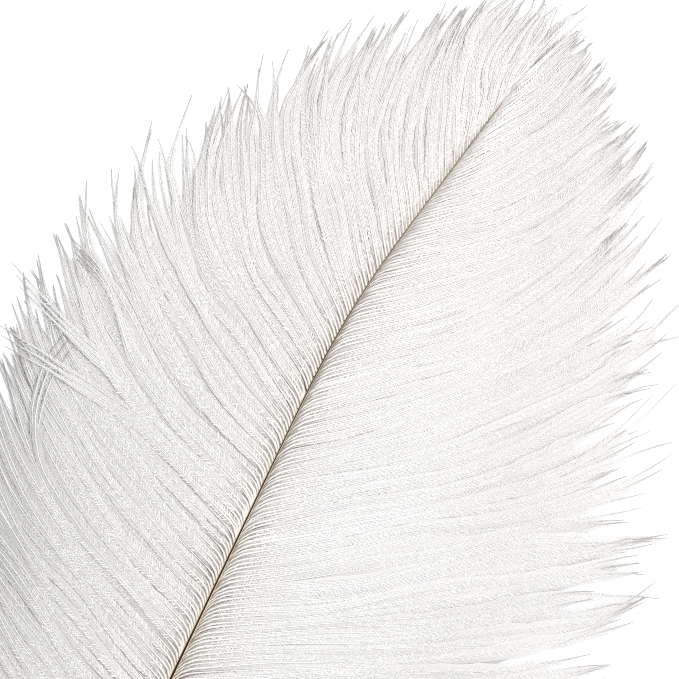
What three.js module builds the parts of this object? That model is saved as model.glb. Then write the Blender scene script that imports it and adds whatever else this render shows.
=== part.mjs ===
// Ostrich wing plume, lying on a table with its quill end and its vane edges down.
// Units are mm, +Z is up and +Y runs from the quill to the tip of the feather.
import * as THREE from "three";

// Driving dimensions
const SHAFT_LENGTH = 318;
const QUILL_LENGTH = 42;
const QUILL_RADIUS = 1.5;
const TIP_RADIUS = 0.14;
const ARCH_HEIGHT = 8;
const ARCH_START = 8;
const LOCKS_PER_SIDE = 36;
const SPLIT = 0.75;
const SWEEP_START = 0.15;
const TABLE_REACH = 0.6;
const ROOT_GAP = 0.3;
const ROOT_DROP = 0.5;
const LOCK_TIP_WIDTH = 0.7;
const VANE_INNER_THICKNESS = 1.3;
const VANE_OUTER_THICKNESS = 0.5;
const VANE_CROWN = 0.3;

// Direction of the shaft, in degrees to the right of +Y, and its two bends
const QUILL_HEADING = -7.5;
const LONG_BEND = { angle: 4, start: 0, length: 130 };
const TIP_BEND = { angle: 11.5, start: 226, length: 58 };

// How the locks differ: the tip end has narrower ones, their lengths spread about the vane's edge,
// every second one is longer, and their tips lean to a side and rise from the table
const LOCK_CROWDING = 1.2;
const LOCK_TAPER = 2.5;
const REACH_SPREAD = 0.16;
const REACH_STEP = 0.07;
const LEAN_SPREAD = 0.8;
const TIP_RISE = 3.5;
const RISE_FROM = 0.4;

// Shaft radius against distance from the quill end
const SHAFT_RADII = [
  [0, 0.75], [1.2, 1.15], [4, 1.4], [10, QUILL_RADIUS], [42, 1.45], [70, 1.1], [104, 0.75],
  [135, 0.54], [166, 0.38], [203, 0.27], [240, 0.21], [280, 0.17], [SHAFT_LENGTH, TIP_RADIUS],
];

// How the barbs lie in each vane: the distance in which they open, and in the flow table the
// fraction of the vane's length, the angle from the shaft at their roots, the angle that they open
// to, their angle at the tip, and their length. They sweep toward the feather's tip from the
// fraction SWEEP_START of their length on.
const LEFT = {
  side: -1,
  rootBend: 4.5,
  flow: [
    [0, 22, 78, 72, 30], [0.15, 22, 78, 62, 55], [0.3, 22, 71, 53, 74], [0.44, 25, 68, 47, 82],
    [0.6, 30, 71, 42, 81], [0.68, 36, 63, 26, 75], [0.76, 42, 53, 13, 68], [0.84, 46, 44, 5, 56],
    [0.92, 44, 35, 2, 42], [0.96, 36, 21, 0, 33], [1, 6, -3, -9, 22],
  ],
};
const RIGHT = {
  side: 1,
  rootBend: 7,
  flow: [
    [0, 20, 78, 72, 30], [0.15, 20, 74, 66, 61], [0.3, 21, 70, 64, 88], [0.44, 20, 63, 59, 105],
    [0.52, 18, 58, 50, 106], [0.6, 16, 53, 36, 100], [0.68, 15, 51, 21, 91],
    [0.76, 14, 47, 11, 79], [0.84, 14, 41, 5, 62], [0.92, 15, 26, 1, 41], [0.96, 16, 18, 4, 30],
    [1, 4, 10, 9, 20],
  ],
};

const rad = (degrees) => degrees * Math.PI / 180;
const lerp = THREE.MathUtils.lerp;
const ease = (t) => THREE.MathUtils.smoothstep(t, 0, 1);

// Straight-line lookup of one column of a table
function lookup(table, at, column = 1) {
  let i = 0;
  while (i < table.length - 2 && at > table[i + 1][0]) i += 1;
  const [a, b] = [table[i], table[i + 1]];
  const t = THREE.MathUtils.clamp((at - a[0]) / (b[0] - a[0]), 0, 1);
  return lerp(a[column], b[column], t);
}

function shaftHeading(s) {
  const turned = ({ angle, start, length }) => angle * ease((s - start) / length);
  return QUILL_HEADING + turned(LONG_BEND) + turned(TIP_BEND);
}

// Centre line of the shaft, in steps of half a millimetre
const STEP = 0.5;
const LINE = [new THREE.Vector2(0, 0)];
for (let s = 0; s < SHAFT_LENGTH; s += STEP) {
  const h = rad(shaftHeading(s + STEP / 2));
  const last = LINE[LINE.length - 1];
  LINE.push(new THREE.Vector2(last.x + STEP * Math.sin(h), last.y + STEP * Math.cos(h)));
}

function shaftPoint(s) {
  const at = THREE.MathUtils.clamp(s / STEP, 0, LINE.length - 1.001);
  const i = Math.floor(at);
  return LINE[i].clone().lerp(LINE[i + 1], at - i);
}

// Height of the shaft's centre line: the quill end and the tip lie on the table
function shaftHeight(s) {
  const t = THREE.MathUtils.clamp((s - ARCH_START) / (SHAFT_LENGTH - ARCH_START), 0, 1);
  return lookup(SHAFT_RADII, s) + ARCH_HEIGHT * Math.sin(Math.PI * t) ** 1.3;
}

// The shaft: a cylinder bent along the centre line and tapered to the table of radii
function shaftGeometry() {
  const around = 12;
  const stations = [0, 1.2, 4, 10];
  for (let s = 16; s < SHAFT_LENGTH; s += 6) stations.push(s);
  stations.push(SHAFT_LENGTH);
  const geometry = new THREE.CylinderGeometry(1, 1, 1, around, stations.length - 1, false);
  const position = geometry.attributes.position;
  for (let i = 0; i < position.count; i += 1) {
    const along = (position.getY(i) + 0.5) * (stations.length - 1);
    const s = stations[Math.round(along)];
    const p = shaftPoint(s);
    const h = rad(shaftHeading(s));
    const r = lookup(SHAFT_RADII, s);
    const out = r * position.getX(i);
    const up = r * position.getZ(i);
    position.setXYZ(i, p.x + out * Math.cos(h), p.y - out * Math.sin(h), shaftHeight(s) + up);
  }
  geometry.computeVertexNormals();
  return geometry;
}

// One barb: the point at each of a list of distances from its root, in plan
function barbCurve({ side, rootBend, flow }, s, distances) {
  const q = (s - QUILL_LENGTH) / (SHAFT_LENGTH - QUILL_LENGTH);
  const [rootAngle, spread, tip, length] = [1, 2, 3, 4].map((column) => lookup(flow, q, column));
  const h = shaftHeading(s);
  const root = shaftPoint(s);
  const offset = side * (lookup(SHAFT_RADII, s) + ROOT_GAP);
  let x = root.x + offset * Math.cos(rad(h));
  let y = root.y - offset * Math.sin(rad(h));
  let t = 0;
  return distances.map((distance) => {
    while (t < distance - 1e-6) {
      const step = Math.min(0.25, distance - t);
      const middle = t + step / 2;
      const opening = (spread - rootAngle) * ease(middle / rootBend);
      const sweep = (tip - spread) * ease((middle / length - SWEEP_START) / (1 - SWEEP_START));
      const heading = rad(h + side * (rootAngle + opening + sweep));
      x += step * Math.sin(heading);
      y += step * Math.cos(heading);
      t += step;
    }
    return new THREE.Vector2(x, y);
  });
}

// Repeatable spread of values between -1 and 1
function jitter(n) {
  const v = Math.sin(n * 127.1 + 311.7) * 43758.5453;
  return 2 * (v - Math.floor(v)) - 1;
}

// One vane: a thin plate of barbs side by side, whole near the shaft and parted farther out into
// locks that narrow to their tips. Its outer half lies flat on the table.
function vaneGeometry(vane) {
  const { side, flow } = vane;
  const points = [];
  const faces = [];
  const add = (p, z) => points.push([p.x, p.y, z]) - 1;
  const quad = (a, b, c, d) => {
    faces.push([a, b, c], [a, c, d]);
  };
  const innerRows = 6;
  const outerRows = 5;

  // Places where the vane parts into locks, and how far along a barb each row is
  const roots = [];
  for (let k = 0; k <= LOCKS_PER_SIDE; k += 1) {
    const along = 1 - (1 - k / LOCKS_PER_SIDE) ** LOCK_CROWDING;
    roots.push(lerp(QUILL_LENGTH, SHAFT_LENGTH, along));
  }
  const barbLength = (s) => lookup(flow, (s - QUILL_LENGTH) / (SHAFT_LENGTH - QUILL_LENGTH), 4);
  const innerDistances = (s) => {
    const length = barbLength(s);
    const near = Math.min(3.5, 0.12 * length);
    const far = Math.min(8, 0.26 * length);
    const rest = [1, 2, 3, 4].map((i) => lerp(far, SPLIT * length, i / 4));
    return [0, near, far, ...rest];
  };
  const height = (s, t) => {
    const fall = 1 - ease(t / (TABLE_REACH * barbLength(s)));
    return Math.max(0, shaftHeight(s) - ROOT_DROP) * fall;
  };
  const thickness = (v) => lerp(VANE_INNER_THICKNESS, VANE_OUTER_THICKNESS, ease(v / SPLIT));

  // Inner part: columns at the edges and the middles of the locks, shared between neighbours
  const columns = [];
  for (let c = 0; c <= 2 * LOCKS_PER_SIDE; c += 1) {
    const k = Math.floor(c / 2);
    const s = c % 2 === 0 ? roots[k] : (roots[k] + roots[k + 1]) / 2;
    const distances = innerDistances(s);
    const curve = barbCurve(vane, s, distances);
    const crown = c % 2 === 0 ? 0 : VANE_CROWN;
    columns.push(curve.map((p, i) => {
      const z = height(s, distances[i]);
      const top = z + thickness(distances[i] / barbLength(s)) + crown;
      return { top: add(p, top), bottom: crown ? -1 : add(p, z) };
    }));
  }

  for (let k = 0; k < LOCKS_PER_SIDE; k += 1) {
    const left = columns[2 * k].slice();
    const middle = columns[2 * k + 1].slice();
    const right = columns[2 * k + 2].slice();

    // Outer part: the lock's own three columns, drawn together toward its tip
    const reach = 1 + REACH_SPREAD * jitter(k + 40 * side) + REACH_STEP * (k % 2 ? 1 : -1);
    const lean = LEAN_SPREAD * jitter(k + 7 + 90 * side);
    const rise = TIP_RISE * Math.max(0, jitter(k + 21 + 60 * side));
    const steps = Array.from({ length: outerRows }, (_, i) => (i + 1) / outerRows);
    const edge = [roots[k], roots[k + 1]].map((s) => {
      const along = steps.map((u) => barbLength(s) * (SPLIT + (1 - SPLIT) * reach * u));
      return barbCurve(vane, s, along);
    });
    const full = edge[0][outerRows - 1].distanceTo(edge[1][outerRows - 1]);
    steps.forEach((u, i) => {
      const narrow = 1 - (1 - LOCK_TIP_WIDTH / full) * u ** LOCK_TAPER;
      const centre = 0.5 + 0.5 * lean * (1 - narrow);
      const z = rise * Math.max(0, u - RISE_FROM) ** 2;
      const place = (c) => edge[0][i].clone().lerp(edge[1][i], centre + (c - 0.5) * narrow);
      const thick = thickness(SPLIT + (1 - SPLIT) * u);
      left.push({ top: add(place(0), z + thick), bottom: add(place(0), z) });
      middle.push({ top: add(place(0.5), z + thick + VANE_CROWN * narrow), bottom: -1 });
      right.push({ top: add(place(1), z + thick), bottom: add(place(1), z) });
    });

    // Faces: two columns on top, one below, and walls where the lock stands free
    const rows = innerRows + outerRows;
    for (let i = 0; i < rows; i += 1) {
      quad(left[i].top, middle[i].top, middle[i + 1].top, left[i + 1].top);
      quad(middle[i].top, right[i].top, right[i + 1].top, middle[i + 1].top);
      quad(left[i].bottom, left[i + 1].bottom, right[i + 1].bottom, right[i].bottom);
      const free = i >= innerRows;
      if (free || k === 0) quad(left[i].top, left[i + 1].top, left[i + 1].bottom, left[i].bottom);
      if (free || k === LOCKS_PER_SIDE - 1) {
        quad(right[i].top, right[i].bottom, right[i + 1].bottom, right[i + 1].top);
      }
    }
    for (const [i, flip] of [[0, false], [rows, true]]) {
      const fan = [left[i].bottom, right[i].bottom, right[i].top, middle[i].top, left[i].top];
      if (flip) fan.reverse();
      const tip = flip ? [fan[4], fan[0], fan[1], fan[2], fan[3]] : fan;
      faces.push([tip[0], tip[1], tip[2]], [tip[0], tip[2], tip[3]], [tip[0], tip[3], tip[4]]);
    }
  }

  const geometry = new THREE.BufferGeometry();
  geometry.setAttribute("position", new THREE.Float32BufferAttribute(points.flat(), 3));
  // The rows run outward to the left on one side and to the right on the other
  const turned = side > 0 ? faces.map(([a, b, c]) => [a, c, b]) : faces;
  geometry.setIndex(turned.flat());
  geometry.computeVertexNormals();
  return geometry;
}

const shaft = new THREE.Mesh(
  shaftGeometry(),
  new THREE.MeshStandardMaterial({ color: 0xb99a78, roughness: 0.45, metalness: 0 }),
);
shaft.name = "shaft";

const leftVane = new THREE.Mesh(
  vaneGeometry(LEFT),
  new THREE.MeshStandardMaterial({ color: 0xf1efec, roughness: 0.9, metalness: 0 }),
);
leftVane.name = "left_vane";

const rightVane = new THREE.Mesh(
  vaneGeometry(RIGHT),
  new THREE.MeshStandardMaterial({ color: 0xf4f2ef, roughness: 0.9, metalness: 0 }),
);
rightVane.name = "right_vane";

// The feather's frame: the middle of its box in plan, on the table
const feather = new THREE.Group();
feather.name = "ostrich_feather";
feather.add(shaft, leftVane, rightVane);
const box = new THREE.Box3().setFromObject(feather);
const middle = box.getCenter(new THREE.Vector3());
for (const mesh of feather.children) mesh.geometry.translate(-middle.x, -middle.y, -box.min.z);

export default feather;
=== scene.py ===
"""A white ostrich plume on a table: a grooved shaft with its quill, and two vanes of barbs."""

import math

import bpy
import numpy as np
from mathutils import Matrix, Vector


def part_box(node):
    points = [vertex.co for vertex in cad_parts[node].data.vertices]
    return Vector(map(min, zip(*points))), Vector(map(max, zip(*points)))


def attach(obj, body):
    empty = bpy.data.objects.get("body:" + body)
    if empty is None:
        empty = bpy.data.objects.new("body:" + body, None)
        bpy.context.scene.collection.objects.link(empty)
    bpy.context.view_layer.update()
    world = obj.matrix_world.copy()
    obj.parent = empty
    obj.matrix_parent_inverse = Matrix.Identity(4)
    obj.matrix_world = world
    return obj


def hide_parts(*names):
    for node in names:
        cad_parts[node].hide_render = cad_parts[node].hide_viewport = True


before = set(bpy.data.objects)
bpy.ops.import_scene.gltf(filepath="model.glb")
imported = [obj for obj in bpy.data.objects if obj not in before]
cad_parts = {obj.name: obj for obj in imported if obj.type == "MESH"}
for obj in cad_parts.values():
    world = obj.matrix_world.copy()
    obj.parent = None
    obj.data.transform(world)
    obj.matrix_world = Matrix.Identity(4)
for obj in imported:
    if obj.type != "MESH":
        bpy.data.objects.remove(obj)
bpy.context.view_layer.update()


# Shaft
# One piece of horny keratin: a round, hollow, ivory quill, then a rachis that tapers to a hair,
# with a brown line along its top and cream flanks. It grew in one piece, and every
# barb of the feather grows out of its flanks.

# Lengths are in mm and angles in degrees; s is a distance along the shaft from the quill's end
MM = 0.001
SHAFT_LENGTH = 318.0
QUILL_LENGTH = 42.0
QUILL_HEADING = -7.5
LOWER_TURN = 4.0
LOWER_TURN_LENGTH = 130.0
TIP_TURN = 11.5
TIP_TURN_START = 226.0
TIP_TURN_LENGTH = 58.0
ARCH_HEIGHT = 8.0
ARCH_START = 8.0
ARCH_POWER = 1.3
SHAFT_RADII = (
    [0, 1.2, 4, 10, 42, 70, 104, 135, 166, 203, 240, 280, SHAFT_LENGTH],
    [0.75, 1.15, 1.4, 1.5, 1.45, 1.1, 0.75, 0.54, 0.38, 0.27, 0.21, 0.17, 0.14],
)
SHAFT_SIDES = 16
SHAFT_STEP = 4.0
LINE_STEP = 0.5


def ease(t):
    """Goes smoothly from 0 to 1 as t does, and stays there on both sides."""
    t = np.clip(t, 0, 1)
    return t * t * (3 - 2 * t)


def shaft_heading(s):
    """Degrees to the right of +Y, with a slight bend along the lower half and one near the tip."""
    lower = LOWER_TURN * ease(s / LOWER_TURN_LENGTH)
    upper = TIP_TURN * ease((s - TIP_TURN_START) / TIP_TURN_LENGTH)
    return QUILL_HEADING + lower + upper


def shaft_radius(s):
    return np.interp(s, *SHAFT_RADII)


line_at = np.arange(0, SHAFT_LENGTH + LINE_STEP / 2, LINE_STEP)
line_turn = np.radians(shaft_heading(line_at[:-1] + LINE_STEP / 2))
line_x = np.append(0, np.cumsum(LINE_STEP * np.sin(line_turn)))
line_y = np.append(0, np.cumsum(LINE_STEP * np.cos(line_turn)))

# The frame says where the shaft lies: its widest point to the right and the end of its quill
turn = np.radians(shaft_heading(line_at))
shaft_low, shaft_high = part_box("shaft")
line_x += shaft_high.x / MM - (line_x + shaft_radius(line_at) * np.cos(turn)).max()
line_y += shaft_low.y / MM - (line_y - shaft_radius(line_at) * abs(np.sin(turn))).min()


def shaft_place(s):
    """The centre line's x and y at s."""
    return np.interp(s, line_at, line_x), np.interp(s, line_at, line_y)


def shaft_height(s):
    """The centre line's z at s: both ends lie on the table, and the middle arches up."""
    arch = np.sin(np.pi * np.clip((s - ARCH_START) / (SHAFT_LENGTH - ARCH_START), 0, 1))
    return shaft_radius(s) + ARCH_HEIGHT * arch ** ARCH_POWER


def deselect():
    bpy.ops.object.select_all(action="DESELECT")


# The rings stand closer where the quill's end is rounded
stations = [0, 1.2, 2.5, 4, 7, *np.arange(10, SHAFT_LENGTH, SHAFT_STEP), SHAFT_LENGTH]
deselect()
bpy.ops.mesh.primitive_circle_add(
    vertices=SHAFT_SIDES,
    radius=shaft_radius(0) * MM,
    fill_type="NGON",
    rotation=(math.radians(90), 0, math.radians(-shaft_heading(0))),
    location=Vector((*shaft_place(0), shaft_height(0))) * MM,
)
shaft = bpy.context.object
shaft.name = "quill_and_rachis"
bpy.ops.object.mode_set(mode="EDIT")
bpy.ops.mesh.select_all(action="SELECT")
for here, there in zip(stations, stations[1:]):
    old = Vector((*shaft_place(here), shaft_height(here))) * MM
    new = Vector((*shaft_place(there), shaft_height(there))) * MM
    grow = float(shaft_radius(there) / shaft_radius(here))
    bend = math.radians(float(shaft_heading(there) - shaft_heading(here)))
    bpy.ops.mesh.extrude_region_move(TRANSFORM_OT_translate={"value": new - old})
    bpy.ops.transform.resize(value=(grow, grow, grow), center_override=new)
    bpy.ops.transform.rotate(value=bend, orient_axis="Z", center_override=new)
bpy.ops.object.mode_set(mode="OBJECT")
bpy.ops.object.transform_apply(location=True, rotation=True, scale=True)
bpy.ops.object.shade_smooth_by_angle(angle=math.radians(50))


def srgb(code):
    """A linear colour from an sRGB hex value."""
    values = [int(code[i:i + 2], 16) / 255 for i in (1, 3, 5)]
    return [v / 12.92 if v <= 0.04045 else ((v + 0.055) / 1.055) ** 2.4 for v in values] + [1]


def node(tree, kind, settings=None, **links):
    """Adds a node; links are input names, or i and a number, with a value or a node's output."""
    made = tree.nodes.new(kind)
    for key, value in (settings or {}).items():
        setattr(made, key, value)
    for name, value in links.items():
        numbered = name[0] == "i" and name[1:].isdigit()
        socket = made.inputs[int(name[1:]) if numbered else name.replace("_", " ")]
        if isinstance(value, bpy.types.NodeSocket):
            tree.links.new(value, socket)
        else:
            socket.default_value = value
    return made


def new_material(name):
    material = bpy.data.materials.new(name)
    material.use_nodes = True
    material.node_tree.nodes.clear()
    return material, material.node_tree


def ramp(tree, factor, *stops):
    """A colour ramp of (position, hex colour) stops."""
    made = node(tree, "ShaderNodeValToRGB", Fac=factor)
    elements = made.color_ramp.elements
    while len(elements) < len(stops):
        elements.new(1)
    for element, (position, colour) in zip(elements, stops):
        element.position = position
        element.color = srgb(colour)
    return made.outputs[0]


# How far a vertex is along the shaft, from 0 to 1, and how high on its round, from -1 to 1
verts = np.empty(len(shaft.data.vertices) * 3)
shaft.data.vertices.foreach_get("co", verts)
verts = verts.reshape(-1, 3) / MM
flat_distance = np.hypot(verts[:, None, 0] - line_x[None], verts[:, None, 1] - line_y[None])
at = line_at[flat_distance.argmin(1)]
for name, values in (
    ("along", at / SHAFT_LENGTH),
    ("crown", (verts[:, 2] - shaft_height(at)) / shaft_radius(at)),
):
    layer = shaft.data.attributes.new(name, "FLOAT", "POINT")
    layer.data.foreach_set("value", values.astype(np.float32))

# Feather keratin is clear horn over pale pith: the quill is ivory, the rachis has cream flanks
# and a brown line along its crown that pales to an olive hair at the tip. Its fibres are far too
# fine to show, so the grain is drawn about 1 mm wide and 17 mm long.
GRAINS_PER_MM = (0.9, 0.06, 0.9)
GRAIN_DEPTH = 0.1
LINE_EDGE = (0.66, 0.8)  # how high on the round the brown line starts and is in full colour
LINE_RAGGEDNESS = 0.14

horn, tree = new_material("feather shaft keratin")
along = node(tree, "ShaderNodeAttribute", {"attribute_name": "along"}).outputs["Fac"]
crown = node(tree, "ShaderNodeAttribute", {"attribute_name": "crown"}).outputs["Fac"]
place = node(tree, "ShaderNodeTexCoord").outputs["Object"]
stretch = node(
    tree, "ShaderNodeMapping", Vector=place, Scale=[grains / MM for grains in GRAINS_PER_MM],
)
grain = node(tree, "ShaderNodeTexNoise", Vector=stretch.outputs[0], Scale=1.0, Detail=3.0)
flanks = ramp(
    tree, along, (0, "#cdb893"), (0.05, "#e8dcc2"), (0.14, "#efe4cf"), (0.3, "#ecdcc4"),
    (0.5, "#f0d2ac"), (0.7, "#e8d8be"), (1, "#d0cabc"),
)
line = ramp(
    tree, along, (0, "#cdb893"), (0.1, "#e0d0b2"), (0.16, "#5e3d22"), (0.25, "#341a0a"),
    (0.52, "#241207"), (0.66, "#271a10"), (0.8, "#453c30"), (1, "#7f7969"),
)
ragged = node(
    tree, "ShaderNodeMath", {"operation": "MULTIPLY_ADD"},
    i0=grain.outputs[0], i1=LINE_RAGGEDNESS, i2=-LINE_RAGGEDNESS / 2,
)
height = node(tree, "ShaderNodeMath", {"operation": "ADD"}, i0=crown, i1=ragged.outputs[0])
share = node(
    tree, "ShaderNodeMapRange", {"interpolation_type": "SMOOTHSTEP"},
    Value=height.outputs[0], From_Min=LINE_EDGE[0], From_Max=LINE_EDGE[1],
)
colour = node(
    tree, "ShaderNodeMix", {"data_type": "RGBA"}, i0=share.outputs[0], i6=flanks, i7=line,
)
bump = node(
    tree, "ShaderNodeBump", Height=grain.outputs[0], Strength=0.2, Distance=GRAIN_DEPTH * MM,
)
bsdf = node(
    tree, "ShaderNodeBsdfPrincipled",
    Base_Color=colour.outputs[2], Roughness=0.6, IOR=1.45, Specular_IOR_Level=0.2,
    Normal=bump.outputs[0],
)
node(tree, "ShaderNodeOutputMaterial", Surface=bsdf.outputs[0])
shaft.data.materials.append(horn)
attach(shaft, "root")
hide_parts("shaft")


# Vanes
# Some 360 barbs a side, each a hair of white keratin with two rows of soft barbules, which
# make it look like a ribbon. They leave the shaft almost along it, open out, lie side by side
# and gather into locks that narrow to a point. They grew in one piece with the shaft.

# The lay of the barbs, by their root's place from 0 at the quill to 1 at the tip of the shaft:
# their angle to the shaft at the root, along the middle and at the end, and their length
LEFT, RIGHT = -1, 1  # a vane's side, which is also the sign of its angles and of X
LEFT_FLOW = [
    [0, 22, 78, 72, 30], [0.15, 22, 78, 62, 55], [0.3, 22, 71, 53, 74], [0.44, 25, 68, 47, 82],
    [0.6, 30, 71, 42, 81], [0.68, 36, 63, 26, 75], [0.76, 42, 53, 13, 68], [0.84, 46, 44, 5, 56],
    [0.92, 44, 35, 2, 42], [0.96, 36, 21, 0, 33], [1, 6, -3, -9, 22],
]
RIGHT_FLOW = [
    [0, 20, 78, 72, 30], [0.15, 20, 74, 66, 61], [0.3, 21, 70, 64, 88], [0.44, 20, 63, 59, 105],
    [0.52, 18, 58, 50, 106], [0.6, 16, 53, 36, 100], [0.68, 15, 51, 21, 91], [0.76, 14, 47, 11, 79],
    [0.84, 14, 41, 5, 62], [0.92, 15, 26, 1, 41], [0.96, 16, 18, 4, 30], [1, 4, 10, 9, 20],
]
VANE_LENGTH = SHAFT_LENGTH - QUILL_LENGTH
FLANK = 0.7  # how far out from the shaft's centre line the barbs start, in radii
ROOT_BEND = {LEFT: 4.5, RIGHT: 7.0}  # the length over which a barb opens out
TIP_BEND = 0.5  # the share of it that is left near the feather's tip
TIP_BEND_START = 240.0
TIP_BEND_LENGTH = 40.0
SWEEP_START = 0.15

# A barb's way is worked out in steps that are finer at its root, and to a little past its length
OUT_NODES = 140
OUT_LIMIT = 1.1
OUT_POWER = 1.5
out = np.linspace(0, OUT_LIMIT, OUT_NODES) ** OUT_POWER
rows = np.arange(QUILL_LENGTH, SHAFT_LENGTH + LINE_STEP / 2, LINE_STEP)


def flow_at(flow, s):
    """The angles at the root, middle and end, and the length, of a barb whose root is at s."""
    place, *columns = np.array(flow).T
    return [np.interp((s - QUILL_LENGTH) / VANE_LENGTH, place, column) for column in columns]


def lay_of(side, flow):
    """Plan places of a vane: a row for each root, a column for each part of the way out."""
    first, spread, tip, length = (column[:, None] for column in flow_at(flow, rows))
    middle = (out[1:] + out[:-1])[None, :] / 2
    tipward = ease((rows - TIP_BEND_START) / TIP_BEND_LENGTH)[:, None]
    bend = ROOT_BEND[side] * (1 - (1 - TIP_BEND) * tipward)
    opening = (spread - first) * ease(middle * length / bend)
    sweep = (tip - spread) * ease((middle - SWEEP_START) / (1 - SWEEP_START))
    angle = np.radians(shaft_heading(rows)[:, None] + side * (first + opening + sweep))
    step = np.diff(out)[None, :] * length
    turn = np.radians(shaft_heading(rows))
    flank = side * shaft_radius(rows) * FLANK
    x, y = shaft_place(rows)
    return np.stack([
        np.hstack([np.zeros((len(rows), 1)), np.cumsum(run, 1)]) + start[:, None]
        for run, start in (
            (step * np.sin(angle), x + flank * np.cos(turn)),
            (step * np.cos(angle), y - flank * np.sin(turn)),
        )
    ], -1)


def lay_at(lay, s, v):
    """The plan place at root position s and part v of the way out."""
    i = np.clip((s - QUILL_LENGTH) / LINE_STEP, 0, len(rows) - 1.001)
    j = np.clip(v ** (1 / OUT_POWER) / OUT_LIMIT * (OUT_NODES - 1), 0, OUT_NODES - 1.001)
    a, b = i.astype(int), j.astype(int)
    fa, fb = (i - a)[..., None], (j - b)[..., None]
    low = lay[a, b] * (1 - fb) + lay[a, b + 1] * fb
    high = lay[a + 1, b] * (1 - fb) + lay[a + 1, b + 1] * fb
    return low * (1 - fa) + high * fa


# The roots of the barbs. Under ones fill the gaps from below, and strays lie over the others.
UPPER, UNDER, STRAY = 0, 1, 2  # each stray tuft is a kind of its own, counted on from STRAY
BARB_SPACING = 1.1
BARB_SCATTER = 0.15
FIRST_BARB = 0.5
UNDER_SHARE = 0.45
UNDER_PLACES = (0.2, 0.8)
UNDER_TIP_GAP = 4.0
STRAY_SPACING = 0.7

# Tufts that lie across their neighbours: root, barbs, and along the tuft the part of its length,
# the part of the way out and the sideways move in mm, which all start from 0
STRAYS = {
    LEFT: [
        (172, 3, [(0.65, 0.66, 0), (0.74, 0.745, 4.5), (0.88, 0.779, 13.5), (1, 0.757, 24.5)]),
        (205, 3, [(0.35, 0.37, 0), (0.56, 0.571, -2), (0.79, 0.81, -9), (1, 1.05, -17.5)]),
        (201, 3, [(0.4, 0.42, 0), (0.6, 0.611, -6), (0.8, 0.801, -14), (1, 0.996, -24)]),
        (209, 4, [(0.6, 0.55, 0), (0.76, 0.683, 2), (0.87, 0.779, 1.5), (1, 0.891, -1.5)]),
        (234, 2, [(0.6, 0.62, 0), (0.8, 0.82, 2), (1, 0.95, 5)]),
        (131, 3, [(0.6, 0.6, 0), (0.8, 0.78, 4), (1, 0.93, 12)]),
        (317, 4, [(0.5, 0.5, 0), (1, 1.08, 1)]),
    ],
    RIGHT: [
        (234, 2, [(0.7, 0.7, 0), (0.85, 0.86, 1), (1, 0.98, 5)]),
        (196, 2, [(0.7, 0.7, 0), (0.85, 0.86, 2), (1, 1.0, 7)]),
        (150, 2, [(0.7, 0.7, 0), (0.85, 0.86, -2), (1, 1.0, -8)]),
        (317, 4, [(0.5, 0.5, 0), (1, 1.08, 1)]),
    ],
}


def barb_roots(side, rng):
    """Where the barbs leave the shaft, from the quill to the tip, and the kind of each."""
    upper = int(VANE_LENGTH / BARB_SPACING)
    lower = int(upper * UNDER_SHARE)
    place = np.arange(upper) + rng.uniform(-BARB_SCATTER, BARB_SCATTER, upper)
    root = QUILL_LENGTH + FIRST_BARB + place * BARB_SPACING
    place = np.arange(lower) + rng.uniform(*UNDER_PLACES, lower)
    root = np.append(root, QUILL_LENGTH + place * ((VANE_LENGTH - UNDER_TIP_GAP) / lower))
    laid = [barbs for _, barbs, _ in STRAYS[side]]
    for at, barbs, _ in STRAYS[side]:
        root = np.append(root, at + STRAY_SPACING * (np.arange(barbs) - (barbs - 1) / 2))
    order = np.argsort(root)
    kind = np.repeat(np.arange(STRAY + len(laid)), [upper, lower, *laid])
    return root[order], kind[order]


# Locks, as the solids have them, and the tufts of a few barbs that they are made of. A part of
# the way out is a share of the barb's length, and a reach is a share of the part past the split.
LOCKS_PER_SIDE = 36
LOCK_CROWDING = 1.2
SPLIT = 0.75
LOCK_SCATTER = 0.16
LOCK_ALTERNATION = 0.07
REACH_SEED = {LEFT: -40, RIGHT: 40}
LIFT_SEED = {LEFT: -39, RIGHT: 81}
LARGEST_TUFT = 5
LEADING_TUFTS = {LEFT: 0.4, RIGHT: 0.6}  # the share of the tufts that reach the vane's outline
OTHER_REACH = (0.65, 0.97)
TUFT_START = {LEFT: (0.6, 0.8), RIGHT: (0.72, 0.9)}
TUFT_POINT = (5, 13)  # how long before its end the barbs of a tuft have met
TUFT_DRIFT = 0.7
TUFT_CURL = {LEFT: 3.2, RIGHT: 2.2}
CURL_LIMIT = {LEFT: -7.0, RIGHT: -2.0}  # the most that a tuft curls back toward the quill
WILD_TUFTS = 0.12
WILD_CURL = 1.8

lock_roots = QUILL_LENGTH + VANE_LENGTH * (
    1 - (1 - np.arange(LOCKS_PER_SIDE + 1) / LOCKS_PER_SIDE) ** LOCK_CROWDING
)


def jitter(n):
    """Repeatable spread of values between -1 and 1."""
    v = np.sin(n * 127.1 + 311.7) * 43758.5453
    return 2 * (v - np.floor(v)) - 1


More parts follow.
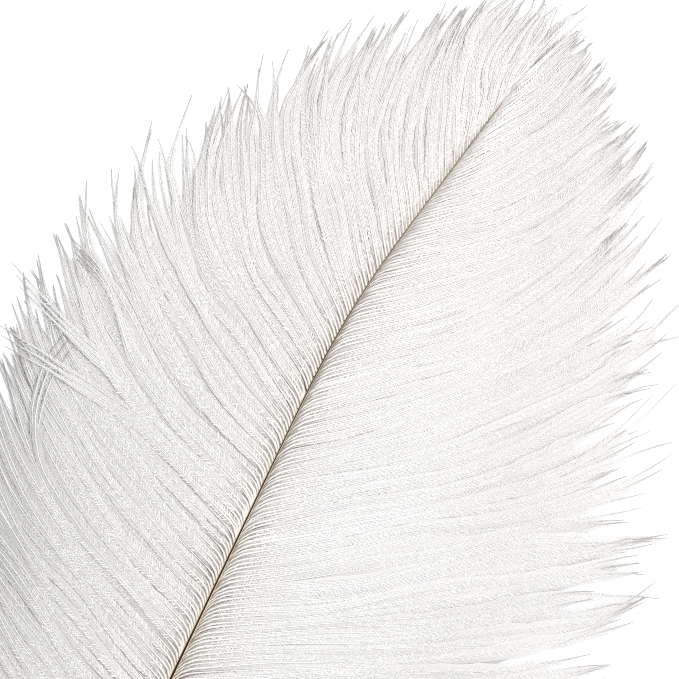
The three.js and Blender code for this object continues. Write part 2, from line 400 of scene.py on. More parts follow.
def gather_tufts(side, flow, root, kind, rng):
    """Neighbours stick together in tufts that end in a point; each barb gets its tuft's values."""
    count = len(root)
    first = np.cumsum(np.append(0, rng.integers(1, LARGEST_TUFT + 1, count)))
    tuft = np.searchsorted(first, np.arange(count), side="right") - 1
    tufts = tuft[-1] + 1

    def share(low=0.0, high=1.0):
        return rng.uniform(low, high, tufts)[tuft]

    middle = np.array([root[tuft == number].mean() for number in range(tufts)])[tuft]
    lock = np.clip(np.searchsorted(lock_roots, middle) - 1, 0, LOCKS_PER_SIDE - 1)
    reach = 1 + LOCK_SCATTER * jitter(lock + REACH_SEED[side])
    reach = reach + LOCK_ALTERNATION * np.where(lock % 2, 1, -1)
    leads = share() < LEADING_TUFTS[side]
    reach = reach * np.where(leads, 1.0, share(*OTHER_REACH))
    start = share(*TUFT_START[side])
    join = SPLIT + (1 - SPLIT) * reach - share(*TUFT_POINT) / flow_at(flow, middle)[-1]
    drift = rng.normal(0, TUFT_DRIFT, tufts)[tuft]
    wild = np.where(share() < WILD_TUFTS, WILD_CURL, 1.0)
    curl = np.maximum(rng.normal(0, TUFT_CURL[side], tufts)[tuft] * wild, CURL_LIMIT[side])
    lift = np.maximum(0, jitter(lock + LIFT_SEED[side]))
    level = np.where(kind >= STRAY, 1.0, share())
    return {
        name: values[:, None] for name, values in (
            ("middle", middle), ("reach", reach), ("start", start), ("join", join),
            ("drift", drift), ("curl", curl), ("lift", lift), ("level", level),
        )
    }


# How high a stray tuft lies over its neighbours, and how its barbs gather toward its point
STRAY_HEIGHT = {LEFT: 0.8, RIGHT: 0.3}
STRAY_ROUNDING = 15
STRAY_SHORTEST = 0.94
STRAY_GATHERING = 0.8


def lay_strays(side, root, kind, along, v):
    """Lays the stray tufts over their neighbours; also how high each barb lies over them."""
    over = np.zeros_like(v)
    t = np.linspace(0, 1, BARB_NODES)
    window = np.hanning(STRAY_ROUNDING) / np.hanning(STRAY_ROUNDING).sum()
    for number, (at, barbs, course) in enumerate(STRAYS[side]):
        mine = np.flatnonzero(kind == STRAY + number)
        part, *moves = np.array([(0, 0, 0), *course]).T
        smooth = []
        for values in moves:
            line = np.interp(t, part, values)
            line = np.pad(line, STRAY_ROUNDING // 2, mode="reflect", reflect_type="odd")
            smooth.append(np.convolve(line, window, "valid"))
        outward, sideways = smooth
        v[mine] = np.maximum(outward, 0) * np.linspace(STRAY_SHORTEST, 1, barbs)[:, None]
        fan = (root[mine] - at)[:, None] * (1 - STRAY_GATHERING * ease((t - 0.4) / 0.5))
        along[mine] = at + fan + sideways
        sinking = 1 - 0.5 * ease((t - 0.8) / 0.2)
        over[mine] = STRAY_HEIGHT[side] * ease((t - 0.55) / 0.2) * sinking
    return along, v, over


# The way of each barb. Loose ones stay out of their tuft. Moves are in mm along the row of roots.
BARB_NODES = 90
NODE_CROWDING = 1.25
LOOSE_SHARE = 0.4
LOOSE_CURL = 1.8
LOOSE_DRIFT = 0.5
LOOSE_REACH = (0.4, 1.0)
LOOSE_PULL = 0.1
TUFT_RAGGED = (0.8, 1)
TUFT_PULL = (0.92, 1.0)
SHORTEST_PULL = 0.06
UNDER_REACH = (-0.2, 1.0)
SHARED_WAVES = ((0.8, 0.19, 8), (0.4, 0.43, -13))  # height, turn per mm of root and per length
OWN_WAVE = 0.4
OWN_WAVE_TURNS = (8, 15)
WAVE_PHASES = (0, 6)
BARB_TAPERS = {LEFT: (12, 32), RIGHT: (7.2, 19.2)}  # how long a web thins out before its end
STRAY_TAPER = 40


def barb_courses(side, root, kind, tuft, rng):
    """For each node of each barb, the root it lies out from, the part of the way out, its height
    over its neighbours and how far into the tuft's end it is, and for each barb its taper."""
    count = len(root)
    each = (count, 1)
    under = (kind == UNDER)[:, None]

    # Some upper barbs and all under ones stay out of their tuft, and most of them end early
    free = under | (rng.uniform(0, 1, each) < LOOSE_SHARE)
    own_curl = rng.normal(0, LOOSE_CURL, each)
    drift = np.where(free, rng.normal(0, LOOSE_DRIFT, each), tuft["drift"])
    curl = np.where(free, own_curl, tuft["curl"])
    own_reach = rng.uniform(*LOOSE_REACH, each)
    reach = np.where(free, own_reach, tuft["reach"] * rng.uniform(*TUFT_RAGGED, each))
    reach = np.where(under, rng.uniform(*UNDER_REACH, each), reach)
    v = (np.linspace(0, 1, BARB_NODES) ** NODE_CROWDING) * (SPLIT + (1 - SPLIT) * reach)

    # Waves that neighbours share, waves of its own, the pull toward the tuft's middle, and the
    # drift and curl of the tuft
    row = root[:, None]
    waves = sum(height * np.sin(a * row + b * v) for height, a, b in SHARED_WAVES)
    own = rng.normal(0, OWN_WAVE, each)
    turns, phases = rng.uniform(*OWN_WAVE_TURNS, each), rng.uniform(*WAVE_PHASES, each)
    waves = waves + own * np.sin(v * turns + phases)
    late = np.clip((v - tuft["start"]) / (1 - tuft["start"]), 0, OUT_LIMIT)
    pull = np.where(free, LOOSE_PULL, rng.uniform(*TUFT_PULL, each))
    pull_length = np.maximum(SHORTEST_PULL, tuft["join"] - tuft["start"])
    pull = pull * ease((v - tuft["start"]) / pull_length)
    along = row + (tuft["middle"] - row) * pull + waves * ease(v * 2.5)
    along = along + drift * ease((v - 0.4) / 0.6) + curl * late ** 2
    along, v, over = lay_strays(side, root, kind, along, v)
    taper = np.where(over[:, -1] > 0, STRAY_TAPER, rng.uniform(*BARB_TAPERS[side], count))
    return np.clip(along, QUILL_LENGTH, SHAFT_LENGTH), v, over, late, taper


# A vane is a layer of two levels of barbs, and under ones, that comes down to the table. Where
# two values are given for a height, the first is the least and the second what is added to it.
TABLE_REACH = 0.6
INNER_THICKNESS = 1.3
OUTER_THICKNESS = 0.8
THINNING_REACH = 0.7
LOCK_THINNING = 0.6
LEVELS = {LEFT: (0.55, 1.0), RIGHT: (0.8, 0.95)}
SAME_LEVEL = 0.2  # the chance that a barb lies on the same level as the one before
LEVEL_WAVE = 0.15
LEVEL_WAVE_TURNS = (6, 14)
UNDER_LEVEL = 0.2
UNDER_DROP = 0.3
ROOT_DROP = 0.5
ROOT_LIFT = 0.3
ROOT_RISE = 0.2
ROOT_RISE_LENGTH = 5.4
LOCK_LIFT = 0.6
TUFT_LIFT = (0.2, 0.9)


def barb_heights(side, flow, root, kind, tuft, along, v, late, rng):
    """Down from the shaft to the table, on two levels in turn, and up a little at the tip."""
    count = len(root)
    each = (count, 1)
    under = kind == UNDER
    low = np.maximum(0, shaft_height(along) - ROOT_DROP) * (1 - ease(v / TABLE_REACH))
    low = np.maximum(0, low - UNDER_DROP * under[:, None] * ease(v / 0.1))
    thick = INNER_THICKNESS + (OUTER_THICKNESS - INNER_THICKNESS) * ease(v / THINNING_REACH)
    thick = thick * (1 - LOCK_THINNING * ease((v - SPLIT) / (1 - SPLIT)))
    turn = np.cumsum(~under) + np.cumsum(rng.uniform(0, 1, count) < SAME_LEVEL)
    level = np.where(under, UNDER_LEVEL, np.where(turn % 2 == 0, *LEVELS[side]))[:, None]
    turns, phases = rng.uniform(*LEVEL_WAVE_TURNS, each), rng.uniform(*WAVE_PHASES, each)
    level = level + LEVEL_WAVE * np.sin(v * turns + phases)
    rise = np.minimum(ROOT_RISE, ROOT_RISE_LENGTH / flow_at(flow, root)[-1])[:, None]
    z = low + ROOT_LIFT + (thick * level - ROOT_LIFT) * ease(v / rise)
    z = z + LOCK_LIFT * tuft["lift"] * np.maximum(0, late - 0.3) ** 2
    least, more = TUFT_LIFT
    lift = (least + more * tuft["level"]) * ease((v - 0.3) / 0.3)
    return z + lift * (1 - 0.7 * ease((late - 0.2) / 0.8))


# Painted shade on the webs and barbules: darker toward the lower left edge, where the light falls
# off, and a little all over the right vane, which the light reaches more strongly
LEFT_PAINTED_SHADE_END = 140.0
LEFT_PAINTED_SHADE_FADE = 70.0
RIGHT_PAINTED_SHADE = 0.3
RIGHT_PAINTED_SHADE_FADE = 0.1


def painted_shade_of(side, root, v):
    """Painted shade on webs and barbules: toward the lower left edge, where the light falls off,
    and all over the right vane, which the light reaches more strongly.
    """
    if side == LEFT:
        lower = 1 - ease((root - LEFT_PAINTED_SHADE_END) / LEFT_PAINTED_SHADE_FADE)
        return lower[:, None] * ease((v - 0.25) / 0.5)
    return RIGHT_PAINTED_SHADE - RIGHT_PAINTED_SHADE_FADE * ease((v - 0.5) / 0.3)


def barb_paths(side, flow, rng):
    """The barbs of a vane: path, kind, the length over which each thins out, and painted shade."""
    root, kind = barb_roots(side, rng)
    tuft = gather_tufts(side, flow, root, kind, rng)
    along, v, over, late, taper = barb_courses(side, root, kind, tuft, rng)
    plan = lay_at(lay_of(side, flow), along, v)
    z = barb_heights(side, flow, root, kind, tuft, along, v, late, rng)
    return np.dstack([plan, z + over]), kind, taper, painted_shade_of(side, root, v)


def unit(vectors):
    return vectors / np.linalg.norm(vectors, axis=-1, keepdims=True)


def cross_frame(way):
    """Level and upward directions across each direction."""
    level = unit(np.cross([0, 0, 1], way))
    return level, np.cross(way, level)


def along_barbs(path, nodes):
    """At that many nodes of each barb: point, level and upward directions, and the distances
    from its root and to its tip."""
    pick = np.unique(np.linspace(0, BARB_NODES - 1, nodes).astype(int))
    level, up = cross_frame(unit(np.gradient(path, axis=1)[:, pick]))
    step = np.linalg.norm(np.diff(path, axis=1), axis=2)
    gone = np.hstack([np.zeros((len(path), 1)), np.cumsum(step, 1)])[..., None]
    return path[:, pick], level, up, gone[:, pick], (gone[:, -1:] - gone)[:, pick]


def tipward(path, start, length):
    """From 0 to 1 for barbs whose roots are that far, in y, on the way to the feather's tip."""
    return ease((path[:, :1, 1:2] - start) / length)


# In the map each barb has a row, in which its strip, web, barbules and loose barbules lie side
# by side, so the values of a vertex are: share of the barb's length, shade, and its map place
MAP_LENGTH = 0.99
BLADE_LENGTH_IN_MAP = 0.008
BLADE_WIDTH_IN_MAP = 0.12
STRIP_ROWS = (0.04, 0.1, 0.2)
WEB_ROWS = (0.22, 0.3, 0.38)
BARBULE_ROW = 0.65
BARBULE_ROWS_APART = 0.12
WISP_ROW = 0.95


def strip_values(share, shade, spread):
    """The values of strips that run along the barbs."""
    shares = np.repeat(share, len(spread), 2)
    number = np.arange(len(share))[:, None, None] + np.broadcast_to(spread, shares.shape)
    columns = [shares, np.full_like(shares, shade), shares * MAP_LENGTH, number]
    return np.stack(columns, -1).reshape(-1, 4)


# The barb itself: a ridged strip, wide and flat at its root, which the next ones overlap
BARB_RINGS = 34
BARB_WIDTHS = {
    LEFT: ([0, 3, 6, 12, 60], [0.74, 0.74, 0.52, 0.32, 0.35]),
    RIGHT: ([0, 2, 4, 8, 12, 60], [0.3, 0.48, 0.7, 0.66, 0.4, 0.24]),
}
RIDGES = ([4, 12], [0.4, 0.85])  # the ridge's height in half widths, by distance from the root
BARB_FOOT = -0.2
NARROWER_NEAR_TIP = 0.4
NARROWER_FROM = (90, 45)  # the place in y where this starts, and over how long
UNDER_HALF_WIDTH = 0.11
TIP_WIDTH = 0.35
TIP_LENGTH = 5.0


def barb_strips(side, path, kind):
    """A ridged strip for each barb."""
    middle, level, up, gone, left = along_barbs(path, BARB_RINGS)
    share = gone / (gone + left)
    half = np.interp(gone, *BARB_WIDTHS[side]) / 2
    half = half * (TIP_WIDTH + (1 - TIP_WIDTH) * ease(left / TIP_LENGTH))
    half = np.where(kind[:, None, None] == UNDER, np.minimum(half, UNDER_HALF_WIDTH), half)
    near_root = 1 - ease(share / 0.3)
    half = half * (1 - NARROWER_NEAR_TIP * tipward(path, *NARROWER_FROM) * near_root)
    corners = ((0, np.interp(gone, *RIDGES)), (-1, BARB_FOOT), (1, BARB_FOOT))
    ring = np.stack([middle + half * (a * level + b * up) for a, b in corners], 2)
    index = np.arange(ring.size // 3).reshape(ring.shape[:3])
    a, b = index[:, :-1], index[:, 1:]
    a2, b2 = np.roll(a, -1, 2), np.roll(b, -1, 2)
    halves = (np.stack([a, a2, b2], -1), np.stack([a, b2, b], -1))
    tris = np.concatenate([half.reshape(-1, 3) for half in halves])
    return ring.reshape(-1, 3), tris, strip_values(share, 1, STRIP_ROWS)


BARBULE_START = {LEFT: 0.8, RIGHT: 2.5}
BARBULE_GROWTH = {LEFT: 4.5, RIGHT: 7.0}
FULL_GROWTH_BARB = 75.0


def growth(side, gone, left, start):
    """How far the barbules have grown, from 0 to 1; they do so sooner on short barbs."""
    short = np.minimum(1, (gone + left) / FULL_GROWTH_BARB)
    return ease((gone - start) / (BARBULE_GROWTH[side] * short))


# A ribbon along each barb, for the barbules that are too fine to be drawn one by one
WEB_RINGS = 36
WEB_WIDTH = 0.85
UNDER_WEB_WIDTH = 1.35
WEB_WIDENING = 0.35
WEB_DEPTHS = (0.06, 0.08)  # below the middle of the barb: at its root, and what is added outside
UNDER_START = {LEFT: 1.5, RIGHT: 2.0}
# WEB_SHADE lifts a web's painted shade toward the barbules' tone, on the right vane and at the
# roots near the feather's tip
WEB_SHADE = {LEFT: 0.0, RIGHT: 0.18}
WEB_SHADE_NEAR_TIP = 0.2
WEB_OVERLAP = 0.65
WIDEST_WEB = 2.2
WEB_PARTS = {LEFT: 0.62, RIGHT: 0.76}
WEB_AT_ROOT = 0.45
WEB_AT_ROOT_NEAR_TIP = 0.4  # what is added near the feather's tip
NEAR_TIP_FROM = (75, 40)
WEB_AT_END = 0.06
WEB_DROOP = (-7, -15)  # on the side of the feather's tip and on that of its quill
WEB_RAGGEDNESS = 0.12


def webs(side, path, kind, taper, rng):
    """A ribbon along each barb that reaches to those of its neighbours."""
    middle, level, up, gone, left = along_barbs(path, WEB_RINGS)
    share = gone / (gone + left)
    outer = ease((share - 0.4) / 0.3)
    middle = middle - (WEB_DEPTHS[0] + WEB_DEPTHS[1] * outer) * up
    under = (kind == UNDER)[:, None, None]
    width = np.where(under, UNDER_WEB_WIDTH, WEB_WIDTH) * (1 + WEB_WIDENING * outer)

    # A ribbon is wide enough to reach those of the next upper barbs, until the tufts part
    upper = np.flatnonzero(kind == UPPER)
    room = abs((np.diff(middle[upper], axis=0) * level[upper[1:]]).sum(2, keepdims=True))
    room = np.maximum(np.concatenate([room[:1], room]), np.concatenate([room, room[-1:]]))
    room = np.clip(WEB_OVERLAP * room, 0, WIDEST_WEB)
    room = room * (1 - ease((share[upper] - WEB_PARTS[side]) / 0.2))
    width[upper] = np.maximum(width[upper], room)

    # It grows with the barbules. Toward the feather's tip the barbs stand closer and the ribbons
    # are wider at their roots, so hardly any dark shows between them.
    grown = growth(side, gone, left, np.where(under, UNDER_START[side], BARBULE_START[side]))
    near_tip = tipward(path, *NEAR_TIP_FROM)
    closed = WEB_AT_ROOT + WEB_AT_ROOT_NEAR_TIP * near_tip
    opening = 0.2 * ease(gone / 1.5) + 0.8 * grown
    width = width * np.where(under, grown, closed + (1 - closed) * opening)
    width = width * (WEB_AT_END + (1 - WEB_AT_END) * ease(left / taper[:, None, None]))
    edges = []
    for hand in (-1, 1):
        droop = WEB_DROOP[0] if hand == side else WEB_DROOP[1]
        droop = np.radians(rng.normal(droop, 3, (len(path), 1, 1)))
        ragged = width * rng.normal(1, WEB_RAGGEDNESS, width.shape)
        edges.append(middle + ragged * (hand * np.cos(droop) * level + np.sin(droop) * up))
    ring = np.stack([edges[0], middle, edges[1]], 2)
    index = np.arange(ring.size // 3).reshape(ring.shape[:3])
    a, b = index[:, :-1], index[:, 1:]
    tris = np.concatenate([
        np.stack([a[..., :-1], a[..., 1:], b[..., 1:]], -1).reshape(-1, 3),
        np.stack([a[..., :-1], b[..., 1:], b[..., :-1]], -1).reshape(-1, 3),
    ])
    at_root = WEB_SHADE_NEAR_TIP * near_tip * (1 - ease(share / 0.2))
    shade = np.maximum(WEB_SHADE[side] * ease((share - 0.1) / 0.2), at_root)
    return ring.reshape(-1, 3), tris, strip_values(share, shade, WEB_ROWS)


def places_on(path, spacing, starts, rng):
    """Places along barbs: which barb, distance from its root and to its tip, point, direction."""
    found = []
    for number, line in enumerate(path):
        gone = np.append(0, np.cumsum(np.linalg.norm(np.diff(line, axis=0), axis=1)))
        at = np.arange(starts[number] + rng.uniform(0, spacing), gone[-1], spacing)
        at = np.clip(at + rng.uniform(-0.3, 0.3, len(at)) * spacing, 0, gone[-1])
        slope = np.gradient(line, axis=0)
        point = [np.interp(at, gone, line[:, c]) for c in range(3)]
        way = [np.interp(at, gone, slope[:, c]) for c in range(3)]
        found.append(np.stack([np.full(len(at), number), at, gone[-1] - at, *point, *way], 1))
    found = np.concatenate(found)
    return found[:, 0].astype(int), found[:, 1:2], found[:, 2:3], found[:, 3:6], unit(found[:, 6:9])


def blade_values(share, number, layout, row, shade):
    """The values of blades whose corners are laid out in (along, across)."""
    along, across = np.array(layout).T
    values = np.empty((len(share), len(layout), 4))
    values[..., 0] = share
    values[..., 1] = shade
    values[..., 2] = share * MAP_LENGTH + along * BLADE_LENGTH_IN_MAP
    values[..., 3] = number[:, None] + row + BLADE_WIDTH_IN_MAP * across
    return values.reshape(-1, 4)


# Barbules are hairs of about 0.02 mm, ten or more to a millimetre of barb. They are too fine to
# show, so they are drawn as blades ten times as wide and fewer, over the web.
BARBULE_SPACING = 0.66
BARBULE_LENGTH = 1.6
BARBULE_WIDTH = 0.27
BARBULE_SIZES = (0.55, 1.25)
# A barbule's tone is drawn at random between the web's painted shade, at 0, and the barbules'
# white, at 0.5; the wider spread on the left vane is painted shade for its stronger relief in the
# side light, and outside the tones close in on a greyer middle tone
BARBULE_SHADES = {LEFT: (0.0, 0.85), RIGHT: (0.34, 0.62)}
BARBULE_SHADE_OUTSIDE = 0.25
BARBULE_DROOP = (-1, -8)
BARBULE_DEPTHS = (0.03, 0.06)
BARBULE_JOINT = 0.55
NEAR_ANGLES = (24, 22, 22)  # to the barb: at its root, what growth adds, what its tip takes off
FAR_ANGLES = (14, 18, 14)
NO_BARBULES = 1e3  # a start past the end of every barb


def lean(angles, grown, tight):
    least, more, less = angles
    return least + more * grown - less * tight


def barbules(side, path, kind, taper, rng):
    """The two rows of barbules of each barb, longest along its middle, pressed to it at its tip."""
    twist = rng.normal(0, 8, (len(path), 3))
    slant = rng.normal(0, 5, (len(path), 2))
    starts = np.where(kind == UNDER, NO_BARBULES, BARBULE_START[side])
    verts, tris, values = [], [], []
    for hand in (-1, 1):
        number, gone, left, point, way = places_on(path, BARBULE_SPACING, starts, rng)
        shape = gone.shape
        share = gone / (gone + left)
        steady, swing, phase = (twist[number, c:c + 1] for c in range(3))
        turn = np.radians(steady + swing * np.sin(gone / 9 + phase))
        level, up = cross_frame(way)
        level, up = (
            np.cos(turn) * level + np.sin(turn) * up,
            np.cos(turn) * up - np.sin(turn) * level,
        )
        # The row on the side of the feather's tip lies over the row of the next barb
        droop = BARBULE_DROOP[0] if hand == side else BARBULE_DROOP[1]
        droop = np.radians(rng.normal(droop, 4, shape))
        sideways = np.cos(droop) * hand * level + np.sin(droop) * up
        grown = growth(side, gone, left, starts[number, None])
        outer = ease((share - 0.5) / 0.25)
        tight = 1 - ease(left / taper[number, None] - 0.15)
        wave = slant[number, :1] + 5 * np.sin(gone / 4.5 + slant[number, 1:])
        near = np.radians(lean(NEAR_ANGLES, grown, tight) + wave + rng.normal(0, 7, shape))
        far = np.radians(lean(FAR_ANGLES, grown, tight) + wave + rng.normal(0, 9, shape))
        size = BARBULE_LENGTH * (0.3 + 0.7 * grown) * rng.uniform(*BARBULE_SIZES, shape)
        size = size * (0.15 + 0.85 * ease(left / taper[number, None]))
        width = BARBULE_WIDTH * (0.5 + 0.5 * grown) * (1 - 0.8 * tight)
        roll = np.radians(rng.normal(4, 6, shape))
        point = point - (BARBULE_DEPTHS[0] + BARBULE_DEPTHS[1] * outer) * up
        first = np.cos(near) * way + np.sin(near) * sideways
        second = np.cos(far) * way + np.sin(far) * sideways
        across = np.cos(near) * sideways - np.sin(near) * way
        wide = (np.cos(roll) * across + np.sin(roll) * up) * width / 2
        joint = point + first * size * BARBULE_JOINT
        end = joint + second * size * (1 - BARBULE_JOINT)
        corners = [point - wide * 0.6, point + wide * 0.6, joint + wide, joint - wide, end]
        layout = [(0, -0.6), (0, 0.6), (BARBULE_JOINT, 1), (BARBULE_JOINT, -1), (1, 0)]
        start = np.arange(len(point))[:, None] * len(corners) + sum(len(v) for v in verts)
        tris.append(np.concatenate([start + [0, 1, 2], start + [0, 2, 3], start + [3, 2, 4]]))
        verts.append(np.stack(corners, 1).reshape(-1, 3))
        shade = rng.uniform(*BARBULE_SHADES[side], shape)
        shade = shade + (BARBULE_SHADE_OUTSIDE - shade) * 0.8 * outer
        row = BARBULE_ROW + BARBULE_ROWS_APART * hand
        values.append(blade_values(share, number, layout, row, shade))
    return np.concatenate(verts), np.concatenate(tris), np.concatenate(values)


# Some barbules come loose and stand off. They are drawn as fewer and wider hairs as well.
WISP_SPACING = 0.32
WISP_LENGTH = 3.2
WISP_WIDTH = 0.08
WISP_SIZES = (0.5, 1.1)
WISP_START = 8.0
WISP_ANGLE = 34
WISP_ANGLE_AT_TIP = 20
WISP_SHADE = 0.5


def wisps(path, rng):
    """Loose fine barbules over the outer half of each barb, which make its edges soft."""
    starts = np.full(len(path), WISP_START)
    number, gone, left, point, way = places_on(path, WISP_SPACING, starts, rng)
    share = gone / (gone + left)
    keep = rng.uniform(0, 1, share.shape) < ease((share - 0.25) / 0.3) * ease((left - 1) / 8)
    number, left, point, way, share = (x[keep[:, 0]] for x in (number, left, point, way, share))
    level, up = cross_frame(way)
    tight = 1 - ease((left - 2) / 15)
    angle = WISP_ANGLE + (WISP_ANGLE_AT_TIP - WISP_ANGLE) * tight
    hand = rng.choice([-1, 1], share.shape)
    outward = np.radians(hand * np.abs(rng.normal(angle, 12, share.shape)))
    rise = np.radians(rng.normal(-6, 10, share.shape))
    sideways = np.cos(rise) * level + np.sin(rise) * up
    heading = np.cos(outward) * way + np.sin(outward) * sideways
    wide = unit(np.cross(heading, up)) * WISP_WIDTH / 2
    size = WISP_LENGTH * (1 - 0.5 * tight) * rng.uniform(*WISP_SIZES, share.shape)
    corners = np.stack([point - wide, point + wide, point + heading * size], 1)
    tris = np.arange(len(share) * 3).reshape(-1, 3)
    values = blade_values(share, number, [(0, -0.3), (0, 0.3), (1, 0)], WISP_ROW, WISP_SHADE)
    return corners.reshape(-1, 3), tris, values


LOWEST_FIBRE = 0.03  # no fibre dips into the table


def fibre_piece(name, groups, painted_shade):
    """One mesh of fibres. Its attributes are out, the share of the barb's length; kind, the
    shade, from 0 for a web over 0.5 for a barbule to 1 for a barb; and painted_shade, how
    much painted shade darkens it."""
    start, faces = 0, []
    for verts, tris, values in groups:
        faces.append(tris + start)
        start += len(verts)
    verts, values = (np.concatenate([group[i] for group in groups]) for i in (0, 2))
    verts[:, 2] = np.maximum(verts[:, 2], LOWEST_FIBRE)
    tris = np.concatenate(faces)
    mesh = bpy.data.meshes.new(name)
    mesh.vertices.add(len(verts))
    mesh.vertices.foreach_set("co", (verts * MM).astype(np.float32).ravel())
    mesh.loops.add(tris.size)
    mesh.loops.foreach_set("vertex_index", tris.astype(np.int32).ravel())
    mesh.polygons.add(len(tris))
    mesh.polygons.foreach_set("loop_start", np.arange(0, tris.size, 3, dtype=np.int32))
    mesh.update(calc_edges=True)
    barb = np.clip(values[:, 3].astype(int), 0, len(painted_shade) - 1)
    nearest = (values[:, 0] ** (1 / NODE_CROWDING) * (BARB_NODES - 1)).astype(int)
    for attribute, column in (
        ("out", values[:, 0]), ("kind", values[:, 1]), ("painted_shade", painted_shade[barb, nearest]),
    ):
        layer = mesh.attributes.new(attribute, "FLOAT", "POINT")
        layer.data.foreach_set("value", column.astype(np.float32))
    # The map has a row for each barb, which runs from its root to its tip
    places = np.clip(values[tris.ravel(), 2:4] / [1, len(painted_shade) + 0.1], 0, 1)
    mesh.uv_layers.new(name="OFBake").data.foreach_set("uv", places.astype(np.float32).ravel())
    piece = bpy.data.objects.new(name, mesh)
    bpy.context.scene.collection.objects.link(piece)
    return piece


# White keratin fibres scatter light and let a third of it through. The barbs are the whitest.
# The webs are painted shade: greyer than the barbules all over, and dark near the shaft, where
# the shade that lies between the barb roots is painted in. Painted shade also darkens webs and
# barbules on the lower left and on the right vane, and the ends of the barbules and barbs. The
# feather is a shade creamier toward its tip.
PAINTED_SHADE_TONE = 0.74
CREAM_FROM, CREAM_TO = 50, 120
SEE_THROUGH = 0.33

down, tree = new_material("white plume keratin")
way_out = node(tree, "ShaderNodeAttribute", {"attribute_name": "out"}).outputs["Fac"]
fibre = node(tree, "ShaderNodeAttribute", {"attribute_name": "kind"}).outputs["Fac"]
painted_shade_factor = node(tree, "ShaderNodeAttribute", {"attribute_name": "painted_shade"}).outputs["Fac"]
# Painted shade: the webs are greyer than the barbules, and darkest at their roots near the shaft
web = ramp(
    tree, way_out, (0, "#968c80"), (0.03, "#aaa298"), (0.06, "#d0ccc8"), (0.12, "#e5e3e2"),
    (0.9, "#e4e3e2"), (1, "#dddcdb"),
)
# Painted shade: like the webs, barbules and barbs turn greyer at their ends, as thin tips look grey
# against the bright table
fluff = ramp(
    tree, way_out, (0, "#f7f5f1"), (0.15, "#f7f6f4"), (0.7, "#f6f5f4"), (0.9, "#f5f4f3"),
    (1, "#eae9e8"),
)
barbs = ramp(
    tree, way_out, (0, "#f8f3ec"), (0.05, "#fbf9f6"), (0.2, "#fefefd"), (0.88, "#fcfcfb"),
    (0.96, "#dcdad8"), (1, "#c2c0be"),
)
is_fluff = node(tree, "ShaderNodeMapRange", Value=fibre, From_Min=0, From_Max=0.5)
is_barb = node(tree, "ShaderNodeMapRange", Value=fibre, From_Min=0.5, From_Max=1)
soft = node(tree, "ShaderNodeMix", {"data_type": "RGBA"}, i0=is_fluff.outputs[0], i6=web, i7=fluff)
# Painted shade darkens webs and barbules toward the lower left and on the right vane
tone = node(tree, "ShaderNodeMapRange", Value=painted_shade_factor, To_Min=1, To_Max=PAINTED_SHADE_TONE)
soft = node(
    tree, "ShaderNodeMix", {"data_type": "RGBA", "blend_type": "MULTIPLY"},
    i0=1.0, i6=soft.outputs[2], i7=tone.outputs[0],
)
colour = node(
    tree, "ShaderNodeMix", {"data_type": "RGBA"},
    i0=is_barb.outputs[0], i6=soft.outputs[2], i7=barbs,
)
spot = node(tree, "ShaderNodeTexCoord").outputs["Object"]
spot = node(tree, "ShaderNodeSeparateXYZ", Vector=spot)
cream = node(
    tree, "ShaderNodeMapRange",
    Value=spot.outputs[1], From_Min=CREAM_FROM * MM, From_Max=CREAM_TO * MM,
)
colour = node(
    tree, "ShaderNodeMix", {"data_type": "RGBA", "blend_type": "MULTIPLY"},
    i0=cream.outputs[0], i6=colour.outputs[2], i7=srgb("#fefdfc"),
)
hair = node(tree, "ShaderNodeBsdfPrincipled", Base_Color=colour.outputs[2], Roughness=0.5, IOR=1.54)
through = node(tree, "ShaderNodeBsdfTranslucent", Color=colour.outputs[2])
both = node(
    tree, "ShaderNodeMixShader", i0=SEE_THROUGH, i1=hair.outputs[0], i2=through.outputs[0],
)
node(tree, "ShaderNodeOutputMaterial", Surface=both.outputs[0])

# Each vane is three meshes, by the share of its barbs, counted from the quill
PARTS = {"base": (0, 0.36), "middle": (0.36, 0.68), "tip": (0.68, 1)}
SEEDS = {LEFT: 10, RIGHT: 12}
for vane, side, flow in (("left", LEFT, LEFT_FLOW), ("right", RIGHT, RIGHT_FLOW)):
    rng = np.random.default_rng(SEEDS[side])
    path, kind, taper, painted_shade = barb_paths(side, flow, rng)
    for part, (low, high) in PARTS.items():
        mine = slice(int(low * len(path)), int(high * len(path)))
        groups = [barb_strips(side, path[mine], kind[mine])]
        groups.append(webs(side, path[mine], kind[mine], taper[mine], rng))
        groups.append(barbules(side, path[mine], kind[mine], taper[mine], rng))
        groups.append(wisps(path[mine], rng))
        piece = fibre_piece(f"{vane}_barbs_{part}", groups, painted_shade[mine])
        piece.data.materials.append(down)
        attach(piece, "root")
        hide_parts(f"{vane}_vane")


# Table
# A plain board with a matt white top, far wider than the feather, which lies on it loose: the
# outer halves of the vanes and both ends of the shaft touch it.

TABLE_SIZE = 3.0

deselect()
bpy.ops.mesh.primitive_plane_add(size=TABLE_SIZE)
table = bpy.context.object
table.name = "table"
white, tree = new_material("white table top")
flat = node(tree, "ShaderNodeBsdfPrincipled", Base_Color=srgb("#fafafa"), Roughness=0.9)
node(tree, "ShaderNodeOutputMaterial", Surface=flat.outputs[0])
table.data.materials.append(white)


# Camera
# It looks straight down on the outer half of the feather, from far above, and is turned so that
# the shaft runs from the lower left to the upper right. Its aim is counted from a place on the
# shaft, along X and Y.

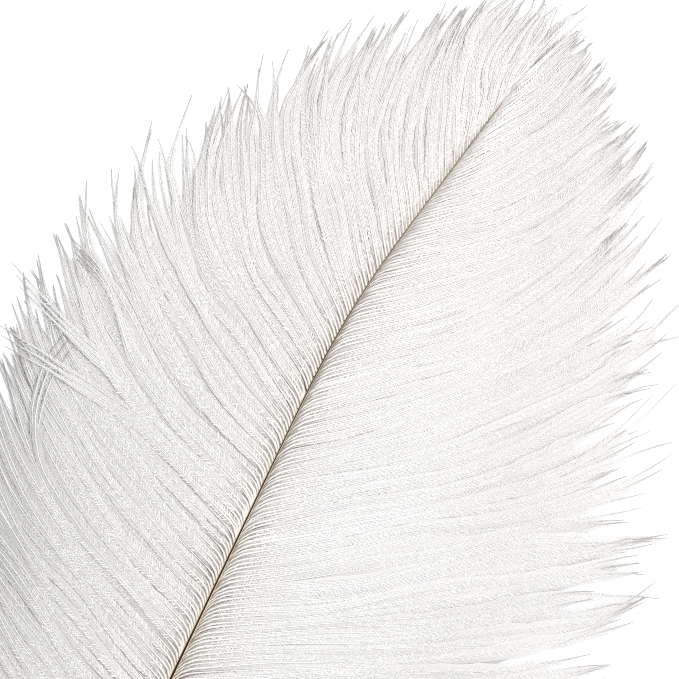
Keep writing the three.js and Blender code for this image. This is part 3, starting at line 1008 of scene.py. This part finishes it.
VIEW_WIDTH = 149.4
VIEW_TURN = 28.9
VIEW_FROM_SHAFT = 166.0
VIEW_CENTRE = (-3.57, 83.1)
CAMERA_HEIGHT = 1200.0
FEATHER_MIDDLE = 4.0
SENSOR_WIDTH = 36.0

x, y = shaft_place(VIEW_FROM_SHAFT)
aim = Vector((float(x) + VIEW_CENTRE[0], float(y) + VIEW_CENTRE[1], 0)) * MM
camera_data = bpy.data.cameras.new("camera")
camera_data.sensor_width = SENSOR_WIDTH
camera_data.lens = SENSOR_WIDTH * CAMERA_HEIGHT / VIEW_WIDTH
camera = bpy.data.objects.new("camera", camera_data)
camera.location = aim + Vector((0, 0, (CAMERA_HEIGHT + FEATHER_MIDDLE) * MM))
camera.rotation_euler = (0, 0, math.radians(VIEW_TURN))
bpy.context.scene.collection.objects.link(camera)
bpy.context.scene.camera = camera


# Window and sky
# A broad soft light from the right and above, and an even white sky. The view is sharp, so that
# the fine barbs show.

WINDOW_SIZE = 0.27
WINDOW_POWER = 3.0
WINDOW_RIGHT, WINDOW_UP, WINDOW_ABOVE = 0.19, 0.01, 0.55
SKY_STRENGTH = 0.72

turn = math.radians(VIEW_TURN)
view_right = Vector((math.cos(turn), math.sin(turn), 0))
view_up = Vector((-math.sin(turn), math.cos(turn), 0))
key_data = bpy.data.lights.new("window", "AREA")
key_data.shape = "SQUARE"
key_data.size = WINDOW_SIZE
key_data.energy = WINDOW_POWER
key = bpy.data.objects.new("window", key_data)
key.location = (
    aim + view_right * WINDOW_RIGHT + view_up * WINDOW_UP + Vector((0, 0, WINDOW_ABOVE))
)
key.rotation_euler = (aim - key.location).to_track_quat("-Z", "Y").to_euler()
bpy.context.scene.collection.objects.link(key)

world = bpy.data.worlds.new("sky")
bpy.context.scene.world = world
world.use_nodes = True
sky = world.node_tree.nodes["Background"]
sky.inputs["Color"].default_value = (1, 1, 1, 1)
sky.inputs["Strength"].default_value = SKY_STRENGTH
bpy.context.scene.view_settings.view_transform = "Standard"
bpy.context.scene.cycles.use_denoising = False
bpy.context.scene.cycles.filter_width = 1.1
